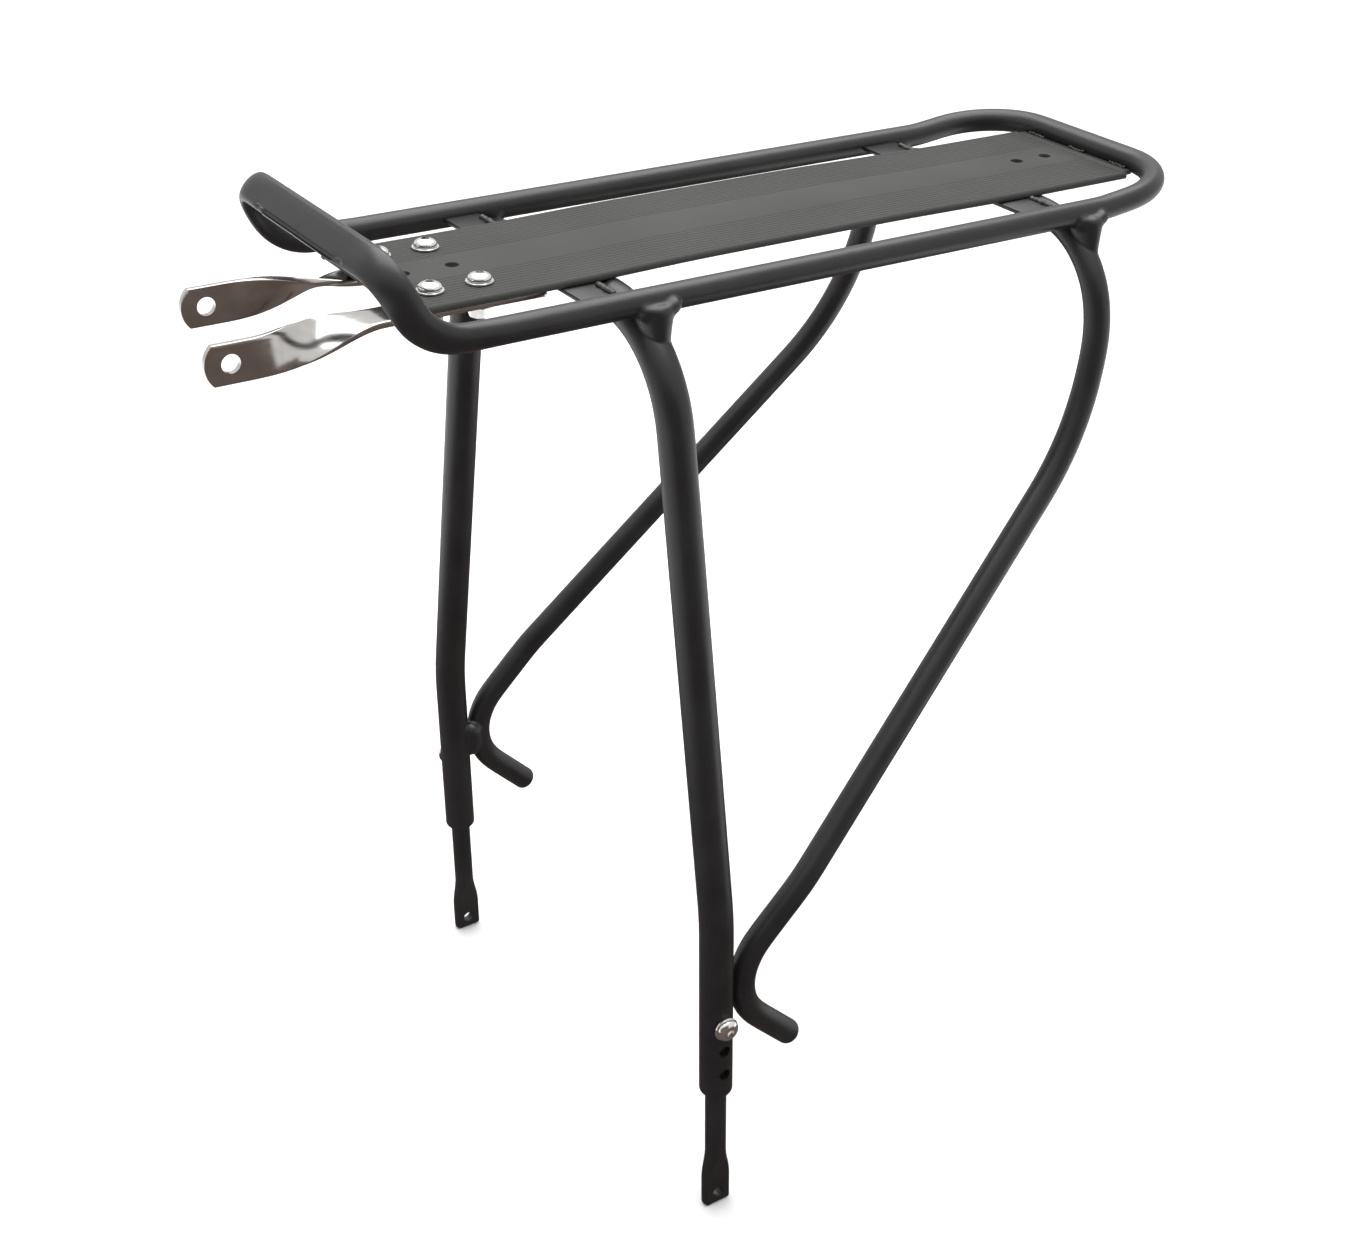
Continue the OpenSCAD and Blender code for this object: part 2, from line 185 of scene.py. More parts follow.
def shade(obj, sharp=35):
    """Normals outwards, and smooth shading that breaks at edges over sharp degrees."""
    me = obj.data
    bm = bmesh.new()
    bm.from_mesh(me)
    bmesh.ops.recalc_face_normals(bm, faces=bm.faces)
    bm.to_mesh(me)
    bm.free()
    me.polygons.foreach_set("use_smooth", [True] * len(me.polygons))
    me.set_sharp_from_angle(angle=math.radians(sharp))
    me.update()


def loft(name, rings, closed=False, sharp=35):
    """Skin over rings of points. An open one gets a cap at each end."""
    rings = np.asarray(rings)
    n, m = rings.shape[:2]
    faces = []
    for i in range(n if closed else n - 1):
        a, b = i * m, ((i + 1) % n) * m
        for j in range(m):
            k = (j + 1) % m
            faces.append((a + j, a + k, b + k, b + j))
    if not closed:
        faces.append(tuple(range(m))[::-1])
        faces.append(tuple(range((n - 1) * m, n * m)))
    return mesh_object(name, rings.reshape(-1, 3), faces, sharp)


def circle(m, r=1.0):
    a = np.linspace(0, 2 * math.pi, m, endpoint=False)
    return np.stack([r * np.cos(a), r * np.sin(a)], 1)


def hexagon(across):
    """Six corners, with that width across the flats."""
    return circle(6, across / 2 / math.cos(math.pi / 6))


def prism(name, outline, heights):
    return loft(name, [np.c_[outline, np.full(len(outline), z)] for z in heights])


def lathe(name, profile, m=56, sharp=30):
    """Turned piece: (radius, height) from the bottom of the axis to its top."""
    rings = [np.c_[circle(m, max(r, 0.001)), np.full(m, z)] for r, z in profile]
    return loft(name, rings, sharp=sharp)


def rounded_end(tube_r, lip):
    """(distance, radius) over the rounded edge at the end of a tube."""
    turns = np.linspace(math.pi / 2, 0, 9)
    return [(lip - lip * math.sin(a), tube_r - lip + lip * math.cos(a)) for a in turns]


def tube(name, line, half, m):
    """Tube along a line. half lists (distance from the tube's end, radius) and shapes both halves.
    A distance below 0 stands past the end of the line."""
    d = lengths(line)
    total = d[-1]
    t, n, b = carried_frames(line, (1, 0, 0))
    c = circle(m)
    rings = []
    for x, r in half + [(total - x, r) for x, r in half[::-1]]:
        on_line = min(max(x, 0), total)
        o, side, up = [np.array([np.interp(on_line, d, v[:, k]) for k in range(3)]) for v in (line, n, b)]
        if x < 0:
            o = o + x * t[0]
        if x > total:
            o = o + (x - total) * t[-1]
        rings.append(o + r * (c[:, :1] * unit(side) + c[:, 1:] * unit(up)))
    return loft(name, rings, sharp=50)


def at(x, y, z):
    return Matrix.Translation(Vector((x, y, z)) * MM)


def place(obj, matrix):
    obj.data.transform(matrix)
    obj.data.update()


def evaluated(obj):
    """Bakes obj's modifiers into its mesh."""
    bpy.context.view_layer.update()
    dg = bpy.context.evaluated_depsgraph_get()
    me = bpy.data.meshes.new_from_object(obj.evaluated_get(dg))
    old = obj.data
    obj.modifiers.clear()
    obj.data = me
    bpy.data.meshes.remove(old)
    return obj


def cut(obj, cutters, operation="DIFFERENCE", sharp=30):
    for c in cutters:
        mod = obj.modifiers.new("cut", "BOOLEAN")
        mod.operation = operation
        mod.solver = "EXACT"
        mod.object = c
    evaluated(obj)
    for c in cutters:
        bpy.data.objects.remove(c)
    shade(obj, sharp)
    return obj


def bevelled(obj, width, segments=2):
    mod = obj.modifiers.new("bevel", "BEVEL")
    mod.width = width * MM
    mod.segments = segments
    mod.limit_method = "ANGLE"
    mod.angle_limit = math.radians(40)
    mod.use_clamp_overlap = True
    evaluated(obj)
    shade(obj, 40)
    return obj


def drill(x, y, z, r, depth, along_y=False, m=40):
    """Cylinder that cuts a hole, centred on a point. It stands along Z unless along_y is set."""
    obj = prism("drill", circle(m, r), (-depth / 2, depth / 2))
    turn = Matrix.Rotation(math.pi / 2, 4, "X") if along_y else Matrix()
    place(obj, at(x, y, z) @ turn)
    return obj


def blank(lo, hi):
    """Box between two corners."""
    ends = (lo, hi)
    verts = [(ends[i][0], ends[j][1], ends[k][2]) for i in (0, 1) for j in (0, 1) for k in (0, 1)]
    faces = [(0, 1, 3, 2), (4, 6, 7, 5), (0, 4, 5, 1), (2, 3, 7, 6), (0, 2, 6, 4), (1, 5, 7, 3)]
    return mesh_object("blank", verts, faces)


def mirror_copy(obj, name):
    """The same piece on the other side of the middle plane."""
    other = obj.copy()
    other.data = obj.data.copy()
    other.name = name
    bpy.context.scene.collection.objects.link(other)
    other.data.transform(Matrix.Scale(-1, 4, (0, 1, 0)))
    other.data.flip_normals()
    other.data.update()
    return other


def joined(name, objs):
    """Several meshes as one piece."""
    bm = bmesh.new()
    for o in objs:
        bm.from_mesh(o.data)
    me = bpy.data.meshes.new(name)
    bm.to_mesh(me)
    bm.free()
    for o in objs:
        bpy.data.objects.remove(o)
    obj = bpy.data.objects.new(name, me)
    bpy.context.scene.collection.objects.link(obj)
    shade(obj)
    return obj


# ---- Welded joints: a distance field blended into the tubes, then skinned ----

def blend_min(a, b, k):
    """Union of two distance fields with a fillet of about k."""
    h = np.clip(0.5 + 0.5 * (b - a) / k, 0, 1)
    return b + (a - b) * h - k * h * (1 - h)


def to_ball(q, centre, r):
    """Distance from points q to a ball."""
    return np.linalg.norm(q - centre, axis=1) - r


def to_line(q, p, r):
    """Distance from points q to a tube of radius r along path p."""
    best = np.full(len(q), 1e9)
    for a, b in zip(p[:-1], p[1:]):
        ab = b - a
        t = np.clip(((q - a) @ ab) / (ab @ ab), 0, 1)
        best = np.minimum(best, np.linalg.norm(q - a - t[:, None] * ab, axis=1))
    return best - r


def near(p, lo, hi, margin=14):
    """The points of the left half of a path that are in or near the box lo..hi."""
    keep = np.all((p > np.array(lo) - margin) & (p < np.array(hi) + margin), 1)
    return p[keep & (p[:, 1] > 0)]


def skin(name, field, lo, hi, h):
    """Closed smooth mesh where field is 0, inside the box lo..hi, with cells of size h."""
    lo, hi = np.array(lo, float), np.array(hi, float)
    n = np.ceil((hi - lo) / h).astype(int) + 1
    axes = [lo[k] + h * np.arange(n[k]) for k in range(3)]
    g = np.stack(np.meshgrid(*axes, indexing="ij"), -1)

    def boxed(q):
        wall = np.max(np.maximum(lo + 1.5 * h - q, q - hi + 1.5 * h), 1)
        return np.maximum(field(q), wall)

    # one point in each cell that the surface crosses: the middle of its crossings
    f = boxed(g.reshape(-1, 3)).reshape(n)
    inside = f < 0
    total, count = np.zeros(tuple(n - 1) + (3,)), np.zeros(tuple(n - 1))
    cell = [slice(0, -1), slice(1, None)]
    for axis in range(3):
        others = [k for k in range(3) if k != axis]
        for i in (0, 1):
            for j in (0, 1):
                s0, s1 = [None] * 3, [None] * 3
                s0[axis], s1[axis] = cell
                s0[others[0]] = s1[others[0]] = cell[i]
                s0[others[1]] = s1[others[1]] = cell[j]
                a, b = f[tuple(s0)], f[tuple(s1)]
                crossing = (a < 0) != (b < 0)
                t = np.where(crossing, a / np.where(crossing, a - b, 1), 0)
                p = g[tuple(s0)] + (g[tuple(s1)] - g[tuple(s0)]) * t[..., None]
                total += np.where(crossing[..., None], p, 0)
                count += crossing
    used = count > 0
    index = np.full(used.shape, -1)
    index[used] = np.arange(used.sum())
    verts = total[used] / count[used][:, None]

    # pulls the points onto the surface, each time by less than a third of a cell
    e = 0.02
    for _ in range(3):
        v = boxed(verts)
        grad = np.stack([boxed(verts + e * d) - boxed(verts - e * d) for d in np.eye(3)], 1) / (2 * e)
        size = np.sum(grad * grad, 1)
        move = -(v / np.maximum(size, 0.2))[:, None] * grad
        long = np.linalg.norm(move, axis=1)
        move *= np.minimum(1, 0.3 * h / np.maximum(long, 1e-9))[:, None]
        verts = verts + move

    # one quad round each grid edge that the surface crosses
    faces = []
    for axis in range(3):
        a, b = [k for k in range(3) if k != axis]
        s0, s1 = [slice(None)] * 3, [slice(None)] * 3
        s0[axis], s1[axis] = cell
        change = inside[tuple(s0)] != inside[tuple(s1)]
        for edge in np.argwhere(change):
            if edge[a] == 0 or edge[b] == 0 or edge[a] >= n[a] - 1 or edge[b] >= n[b] - 1:
                continue
            quad = []
            for da, db in ((-1, -1), (0, -1), (0, 0), (-1, 0)):
                c = edge.copy()
                c[a] += da
                c[b] += db
                quad.append(int(index[tuple(c)]))
            faces.append(quad)
    return mesh_object(name, verts, faces, sharp=180)


leg_line = relax(mirrored(rounded_path(LEG_CORNERS, LEG_RADII)), 9)
stay_line = relax(mirrored(rounded_path(STAY_CORNERS, STAY_RADII)), 9)
rail_half = rounded_path(RAIL_CORNERS, RAIL_RADII)
rail_line = relax(np.vstack([rail_half, (rail_half * [1, -1, 1])[-2:0:-1]]), 5, closed=True)
rail_line = np.vstack([rail_line, rail_line[:1]])


# ---- Materials ----

def principled(name, color, rough, metal=0.0, level=0.5):
    mat = bpy.data.materials.new(name)
    mat.use_nodes = True
    nt = mat.node_tree
    bsdf = nt.nodes["Principled BSDF"]
    bsdf.inputs["Base Color"].default_value = (*color, 1)
    bsdf.inputs["Roughness"].default_value = rough
    bsdf.inputs["Metallic"].default_value = metal
    bsdf.inputs["Specular IOR Level"].default_value = level
    return mat, nt, bsdf


def noise(nt, scale, detail=3.0, stretch=(1, 1, 1)):
    co = nt.nodes.new("ShaderNodeTexCoord")
    mp = nt.nodes.new("ShaderNodeMapping")
    mp.inputs["Scale"].default_value = stretch
    nt.links.new(co.outputs["Object"], mp.inputs["Vector"])
    n = nt.nodes.new("ShaderNodeTexNoise")
    n.inputs["Scale"].default_value = scale
    n.inputs["Detail"].default_value = detail
    n.inputs["Roughness"].default_value = 0.55
    nt.links.new(mp.outputs["Vector"], n.inputs["Vector"])
    return n.outputs["Fac"]


def ramp(nt, fac, stops):
    r = nt.nodes.new("ShaderNodeValToRGB")
    elements = r.color_ramp.elements
    while len(elements) < len(stops):
        elements.new(0.5)
    for element, (position, color) in zip(elements, stops):
        element.position = position
        element.color = (*color, 1)
    nt.links.new(fac, r.inputs["Fac"])
    return r.outputs["Color"]


def scaled(nt, fac, lo, hi):
    m = nt.nodes.new("ShaderNodeMapRange")
    m.inputs["To Min"].default_value = lo
    m.inputs["To Max"].default_value = hi
    nt.links.new(fac, m.inputs["Value"])
    return m.outputs["Result"]


def bumps(nt, bsdf, layers):
    """Stacks (height, distance in metres, strength) bump layers on the shader's normal."""
    last = None
    for height, distance, strength in layers:
        b = nt.nodes.new("ShaderNodeBump")
        b.inputs["Distance"].default_value = distance
        b.inputs["Strength"].default_value = strength
        nt.links.new(height, b.inputs["Height"])
        if last:
            nt.links.new(last, b.inputs["Normal"])
        last = b.outputs["Normal"]
    nt.links.new(last, bsdf.inputs["Normal"])


def powder_coat(name, dark, light, rough, level=0.5):
    """Satin black powder coat: fine orange peel, with a faintly uneven tone and sheen."""
    mat, nt, bsdf = principled(name, dark, rough, level=level)
    tone = ramp(nt, noise(nt, 30, 4), [(0.3, dark), (0.7, light)])
    sheen = scaled(nt, noise(nt, 60, 4), rough - 0.07, rough + 0.09)
    nt.links.new(tone, bsdf.inputs["Base Color"])
    nt.links.new(sheen, bsdf.inputs["Roughness"])
    bumps(nt, bsdf, [(noise(nt, 900, 2), 0.00006, 0.5), (noise(nt, 3200, 2), 0.00002, 0.5)])
    return mat


def bare_metal(name, color, rough, stretch=(1, 1, 1)):
    """Plated or polished metal with faint wear. A small stretch along an axis brushes it that way."""
    mat, nt, bsdf = principled(name, color, rough, 1.0)
    worn = tuple(0.86 * c for c in color)
    tone = ramp(nt, noise(nt, 120, 4), [(0.3, worn), (0.7, color)])
    sheen = scaled(nt, noise(nt, 500, 4, stretch), rough * 0.6, rough * 1.6)
    nt.links.new(tone, bsdf.inputs["Base Color"])
    nt.links.new(sheen, bsdf.inputs["Roughness"])
    bumps(nt, bsdf, [(noise(nt, 700, 3, stretch), 0.00003, 0.35)])
    return mat


COAT = powder_coat("black_powder_coat", (0.007, 0.007, 0.0078), (0.013, 0.013, 0.0138), 0.37)
DECK_COAT = powder_coat("black_powder_coat_deck", (0.028, 0.028, 0.026), (0.039, 0.039, 0.0365), 0.62, 0.3)
WELD_COAT = powder_coat("black_powder_coat_weld", (0.0075, 0.0075, 0.0083), (0.0135, 0.0135, 0.0143), 0.40)
NICKEL = bare_metal("bright_nickel", (0.92, 0.91, 0.89), 0.12)
ZINC = bare_metal("zinc_plate", (0.86, 0.86, 0.85), 0.2)
STAINLESS = bare_metal("polished_stainless", (0.66, 0.64, 0.62), 0.15, stretch=(0.08, 1, 1))


def finish_piece(obj, body, mat, slot, *nodes):
    obj.data.materials.clear()
    obj.data.materials.append(mat)
    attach(obj, body)
    if nodes:
        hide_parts(*nodes)
    return obj


# ---- Rail loop ----

def pressed_section(degrees, groove):
    """Outline of the flattened bar: u across it, v out of its flat face. With a groove, its lower
    front edge has a lip with a dark slot behind it."""
    outline = np.array([
        (0, 6.5, 0.3), (14, 6.35, 1.3), (26, 5.8, 2.1), (40, 4.7, 2.6), (60, 2.6, 2.85), (90, -0.6, 2.85),
        (118, -3.2, 2.75), (132, -4.5, 2.6), (140, -5.1, 2.4), (150, -5.7, 2.05), (160, -6.2, 1.5),
        (170, -6.55, 0.8), (180, -6.7, 0.1), (196, -6.3, -1.2), (214, -5.1, -2.2), (240, -2.7, -2.8),
        (270, 0.2, -2.9), (300, 2.9, -2.7), (325, 5.0, -2.1), (343, 6.1, -1.1), (360, 6.5, 0.3)])
    if groove:
        slot = {132: (-4.4, 2.75), 140: (-4.95, 2.55), 150: (-5.05, 0.95), 160: (-6.05, 0.85),
                170: (-6.75, 1.75), 180: (-7.05, 0.95)}
        for row in outline:
            row[1:] = slot.get(int(row[0]), row[1:])
    return np.stack([np.interp(degrees, outline[:, 0], outline[:, k]) for k in (1, 2)], 1)


def rail_loop():
    """One tube round the rack. The press turns it from round to oval, thin and then flat."""
    angles = np.radians(np.r_[np.arange(0, 132, 5.0), np.arange(132, 182, 2.0), np.arange(183, 360, 5.0)])
    degrees = np.degrees(angles)
    p = resample(rail_line, 1.0)[:-1]
    _, n, b = carried_frames(p, (-1, 0, 1), closed=True)
    s = lengths(np.vstack([p, p[:1]]))
    q = np.minimum(s[:-1], s[-1] - s[:-1])  # distance from the middle of the front bar
    oval = 1 - smooth(q, 76, 116)
    thin = 1 - smooth(q, 48, 78)
    press = 1 - smooth(q, 30.0, 56.0)
    slot = 1 - smooth(q, 28.0, 32.5)
    dent = 0.9 * np.exp(-((q - 34.0) / 2.2) ** 2)  # one beside each end of the slot
    dent_round = np.exp(-((degrees - 150) / 13) ** 2)[:, None]
    c = np.stack([np.cos(angles), np.sin(angles)], 1)
    plain, grooved = pressed_section(degrees, False), pressed_section(degrees, True)
    rings = []
    for i in range(len(p)):
        round_tube = c * [RAIL_R + oval[i] * 1.3 + thin[i] * 0.2, RAIL_R - oval[i] * 0.9 - thin[i] * 0.9]
        flat_tube = (1 - slot[i]) * plain + slot[i] * grooved
        section = (1 - press[i]) * round_tube + press[i] * flat_tube - dent[i] * dent_round * c
        rings.append(p[i] + section[:, :1] * n[i] + section[:, 1:] * b[i])
    return loft("rail_loop_tube", rings, closed=True, sharp=42)


finish_piece(rail_loop(), "rack", COAT, "coat", "rail_loop")


# ---- Deck plate ----

def deck_outline():
    """Section of the deck, from the middle of its top over the left rim, underneath and back."""
    groove_w, groove_d = 1.0, 0.3
    groove = ((-0.5, 0), (-0.36, -0.3), (-0.16, -0.9), (0, -1), (0.16, -0.9), (0.36, -0.3), (0.5, 0))
    rim_r = 2.2  # of the rounded edge on top of the rim
    soft = 0.15  # of the flange's lower corners
    inner = DECK_HALF - RIM_W
    pitch = (inner - BAND_HALF - 1) / GROOVES
    half = [(0, DECK_TOP)]
    for i in range(GROOVES + 1):
        y = BAND_HALF + i * pitch
        half += [(y + dy * groove_w, DECK_TOP + dz * groove_d) for dy, dz in groove]
    half += [(inner - 0.4, DECK_TOP), (inner - 0.15, DECK_TOP + 0.14), (inner + 0.1, RIM_TOP - 0.02)]
    half += [(DECK_HALF - rim_r + rim_r * math.sin(a), RIM_TOP - rim_r + rim_r * math.cos(a))
             for a in np.linspace(0, math.pi / 2, 10)[1:]]
    half += [(DECK_HALF, FLANGE_Z + 0.5), (DECK_HALF - soft, FLANGE_Z + soft), (DECK_HALF - 0.5, FLANGE_Z)]
    half += [(inner + 0.5, FLANGE_Z), (inner + soft, FLANGE_Z + soft), (inner, DECK_TOP - DECK_WEB)]
    return half + [(-y, z) for y, z in half[:0:-1]]


def drawn_in(value, middle, inset):
    """value moved towards the middle by inset, and never past it."""
    return value - math.copysign(min(inset, abs(value - middle)), value - middle)


def deck_plate():
    outline = deck_outline()
    middle_z = DECK_TOP - DECK_WEB / 2
    rear, front = DECK_X
    edge = 0.35  # chamfer round both ends
    stations = [(rear, edge), (rear + 0.1, 0.14), (rear + edge, 0)]
    stations += [(x, 0) for x in np.linspace(rear + 12, front - 12, 28)]
    stations += [(front - edge, 0), (front - 0.1, 0.14), (front, edge)]
    rings = []
    for x, inset in stations:
        bow = float(smooth(x, -205, -110) - smooth(x, -40, 36))  # up by 1 mm between the hoops
        rings.append([(x, drawn_in(y, 0, inset), drawn_in(z, middle_z, inset) + bow) for y, z in outline])
    plate = loft("deck_plate_ribbed", rings, sharp=38)
    holes = [(x, y) for x in SCREW_ROWS for y in (-SCREW_Y, 0, SCREW_Y)] + [(x, 0) for x in REAR_HOLES]
    return cut(plate, [drill(x, y, middle_z, HOLE_R, 12) for x, y in holes], sharp=38)


def rear_tongue():
    """The end of the web that reaches under the rear bar's welds."""
    return bevelled(blank((REAR_X + 4.2, -34.0, 389.5), (DECK_X[0] + 0.5, 34.0, DECK_TOP - 0.05)), 0.3)


def arm_pads():
    """Two ridges under the deck for each arm to lie on."""
    rear, front, half_w, from_middle = 35, 85, 1.3, 6.2
    middles = [side * SCREW_Y + y for side in (-1, 1) for y in (-from_middle, from_middle)]
    return [bevelled(blank((rear, y - half_w, ARM_TOP + PLAY), (front, y + half_w, 389.6)), 0.3)
            for y in middles]


deck = joined("deck_plate_extrusion", [deck_plate(), rear_tongue()] + arm_pads())
finish_piece(deck, "rack", DECK_COAT, "coat", "deck_plate")


# ---- Front leg hoop ----

def axis_matrix(side):
    """Local +Z runs up a leg from its foot eyelet and local +Y points outwards."""
    m = at(0, FOOT_HALF, 0) @ Matrix.Rotation(LEG_LEAN, 4, "Y")
    return m if side > 0 else Matrix.Scale(-1, 4, (0, 1, 0)) @ m


def on_axis(local, side):
    """A point of the leg's own axis system, in the rack's, in mm."""
    return np.array(axis_matrix(side) @ (Vector(local) * MM)) / MM


def leg_hoop():
    bore, depth, lip = 4.62, 56.0, 2.2
    half = [(depth, bore * 0.5), (depth, bore), (12.0, bore), (1.2, bore)]
    half += [(0.5, bore + 0.12), (0.12, bore + 0.4)]
    half += rounded_end(LEG_R, lip)
    half += [(x, LEG_R) for x in np.arange(4.0, lengths(leg_line)[-1] / 2, 2.0)]
    hoop = tube("front_leg_hoop_tube", leg_line, half, 56)
    spots = [on_axis((0, LEG_R, CLAMP_Z - i * CLAMP_PITCH), side) for _, side in SIDES for i in range(3)]
    return cut(hoop, [drill(*spot, 2.55, 6.0, along_y=True) for spot in spots], sharp=40)


finish_piece(leg_hoop(), "rack", COAT, "coat", "front_leg_hoop")


# ---- Rear stay hoop ----

def stay_hoop():
    past = 3.0  # the rounded tip stands past the end of the line
    half = [(-past, 0.02), (-past, 1.2)] + [(x - past, r) for x, r in rounded_end(STAY_R, 3.2)]
    half += [(x, STAY_R) for x in np.arange(1.5, lengths(stay_line)[-1] / 2, 2.0)]
    return tube("rear_stay_hoop_tube", stay_line, half, 48)


finish_piece(stay_hoop(), "rack", COAT, "coat", "rear_stay_hoop")


# ---- Cross strips ----

into_hoop, strip_t, half_y = 1.0, 1.8, RAIL_HALF - 3.6
for label, hoop_side in (("front", LEG_X + LEG_R), ("rear", STAY_X + STAY_R)):
    strip = bevelled(blank((hoop_side - into_hoop, -half_y, STRIP_TOP - strip_t),
                           (hoop_side + STRIP_WIDTHS[label], half_y, STRIP_TOP)), 0.45, 3)
    strip.name = label + "_cross_strip_plate"
    finish_piece(strip, "rack", COAT, "coat", label + "_cross_strip")


# ---- Saddles ----

def saddle(name, line, tube_r, x):
    """Coped stub between a hoop's shoulder and the rail, with weld metal run out to two ears."""
    lo, hi = (x - 17, 50.5, 366), (x + 17, 73.5, 393.5)
    hoop, rail = near(line, lo, hi), near(rail_line, lo, hi)
    rail = rail[np.abs(rail[:, 2] - RAIL_Z) < 6]
    foot, top, scale = 375.5, 388.9, 0.3 + 0.7 * tube_r / LEG_R
    front_ear, rear_ear = (x + 6.0 * scale, 65.6, 386.2), (x - 6.3 * scale, 66.6, 387.3)

    def field(q):
        tubes = np.minimum(to_line(q, hoop[::2], tube_r), to_line(q, rail[::2], RAIL_R))
        # flared cup: flush with the hoop's shoulder at its foot, wide and rounded under the rail's middle
        dx = q[:, 0] - x
        up = np.clip((q[:, 2] - foot) / (top - foot), 0, 1)
        half_x = (5.5 + 2.7 * up ** 1.7) * scale
        half_y = 7.2 + 0.3 * up
        cup = (np.hypot(dx / half_x, (q[:, 1] - 63.6) / half_y) - 1) * np.minimum(half_x, half_y)
        cup = -blend_min(-cup, q[:, 2] - foot + 2.0, 0.5)
        cup = -blend_min(-cup, top - 0.4 * (dx / (8.0 * scale)) ** 2 - q[:, 2], 4.0)
        ears = np.minimum(to_ball(q, rear_ear, 2.55), to_ball(q, front_ear, 2.0))
        lump = blend_min(cup, ears, 2.6)
        return weld_layer(lump, tubes, 0.5 + 1.3 * up, 3.0)

    return skin(name, field, lo, hi, 0.42)


def weld_layer(lump, tubes, fillet, reach):
    """A lump of weld with a fillet onto the tubes, kept to a shell over them and near the lump."""
    into_tubes = 1.2
    blended = blend_min(lump, tubes, fillet) + 0.03
    return np.maximum(np.maximum(blended, -(tubes + into_tubes)), lump - reach)


def weld_pair(left, name):
    """Gives a left weldment its right twin and finishes both."""
    right = mirror_copy(left, "right_%s_weldment" % name)
    finish_piece(left, "rack", WELD_COAT, "coat", "left_" + name)
    finish_piece(right, "rack", WELD_COAT, "coat", "right_" + name)


for label, line, tube_r, x in (("front", leg_line, LEG_R, LEG_X - 1.5),
                               ("rear", stay_line, STAY_R, STAY_X - 1.5)):
    weld_pair(saddle("left_%s_saddle_weldment" % label, line, tube_r, x), label + "_saddle")


# ---- Gussets between leg and stay ----

def gusset():
    lo, hi = (-14, 99, 92), (10, 120.5, 124)
    leg, stay = near(leg_line, lo, hi), near(stay_line, lo, hi)
    web_line, web_r = np.array([(-3.5, 109.3, 103.5), (-3.5, 109.3, 111.5)]), 4.4

    def field(q):
        tubes = np.minimum(to_line(q, leg[::2], LEG_R), to_line(q, stay[::2], STAY_R))
        return weld_layer(to_line(q, web_line, web_r), tubes, 2.2, 4.5)

    return skin("left_stay_gusset_weldment", field, lo, hi, 0.45)


weld_pair(gusset(), "stay_gusset")


# ---- Weld beads ----

def bead(a, b, r, pitch, below, above, base_z, seed):
    """Row of overlapping drops of weld metal from a to b that stands on a base at base_z.
    below and above say how far its box reaches past the two ends."""
    a, b = np.array(a, float), np.array(b, float)
    rng = np.random.default_rng(seed)
    count = max(2, int(np.linalg.norm(b - a) / pitch) + 1)
    drops = [(a + (b - a) * i / (count - 1) + rng.normal(0, 0.12, 3), r * rng.uniform(0.85, 1.12))
             for i in range(count)]

    def field(q):
        f = to_ball(q, *drops[0])
        for drop in drops[1:]:
            f = blend_min(f, to_ball(q, *drop), 0.5)
        return np.maximum(f, base_z - q[:, 2])

    return skin("bead", field, np.minimum(a, b) - below, np.maximum(a, b) + above, 0.3)


strip_beads = [bead((x, side * 38.5, STRIP_TOP), (x, side * 49.5, STRIP_TOP), r, 1.6,
                    (4, 4.5, 3), (4, 4.5, 4), STRIP_TOP - 0.9, 300 + int(x) + side)
               for x, r in ((LEG_X + LEG_R + 0.6, 1.45), (STAY_X + STAY_R + 0.6, 1.3)) for _, side in SIDES]
finish_piece(joined("strip_weld_beads", strip_beads), "rack", WELD_COAT, "coat", "strip_welds")

bar_x, bar_z = REAR_X + 4.9, DECK_TOP + 0.1
bar_beads = [bead((bar_x, y - 4.5, bar_z), (bar_x, y + 4.5, bar_z), 0.8, 1.2,
                  (3.9, 3.5, 2.6), (4.1, 3.5, 2.9), DECK_TOP - 0.9, 31 + i)
             for i, y in enumerate((-26, 0, 26))]
finish_piece(joined("rear_bar_weld_beads", bar_beads), "rack", WELD_COAT, "coat", "rear_bar_welds")


# ---- Fasteners: local +Z points out of the head ----

def screw(length, head_r=4.5):
    """Domed M5 screw with a hexagon socket. Plain rings stand for its thread. Its seat is at height 0."""
    head_h, rim_h, socket = 3.0, 0.75, 3.0
    root, crest, half_pitch = 2.2, 2.45, 0.4
    profile = [(0, -length), (1.9, -length), (crest, -length + 0.6)]
    profile += [(crest if k % 2 else root, -length + 1.0 + half_pitch * k)
                for k in range(int((length - 2) / half_pitch))]
    profile += [(2.5, -0.6), (2.5, 0), (head_r - 0.35, 0), (head_r - 0.06, 0.12), (head_r, 0.4)]
    profile += [(head_r * math.cos(a), rim_h + (head_h - rim_h) * math.sin(a))
                for a in np.linspace(0, math.pi / 2, 14)[:-1]]
    profile += [(0, head_h)]
    return cut(lathe("screw", profile), [prism("socket", hexagon(socket), (1.0, 4.0))], sharp=32)


def washer(r):
    hole, e, t = 2.6, 0.22, WASHER_T
    profile = [(hole, e), (hole + e, 0), (r - e, 0), (r, e)]
    profile += [(a, t - z) for a, z in profile[::-1]]
    rings = [np.c_[circle(56, a), np.full(56, z)] for a, z in profile]
    return loft("washer", rings, closed=True, sharp=32)


def nut():
    """Hexagon nut with its corners turned down at both faces."""
    face_r, corner_r, chamfer = 3.9, 4.75, 0.55
    six = prism("nut", hexagon(8.0), (0, NUT_H))
    cone = lathe("cone", [(0, 0), (face_r, 0), (corner_r, chamfer), (corner_r, NUT_H - chamfer),
                          (face_r, NUT_H), (0, NUT_H)])
    cut(six, [cone], "INTERSECT")
    return cut(six, [drill(0, 0, NUT_H / 2, 2.52, 10)])


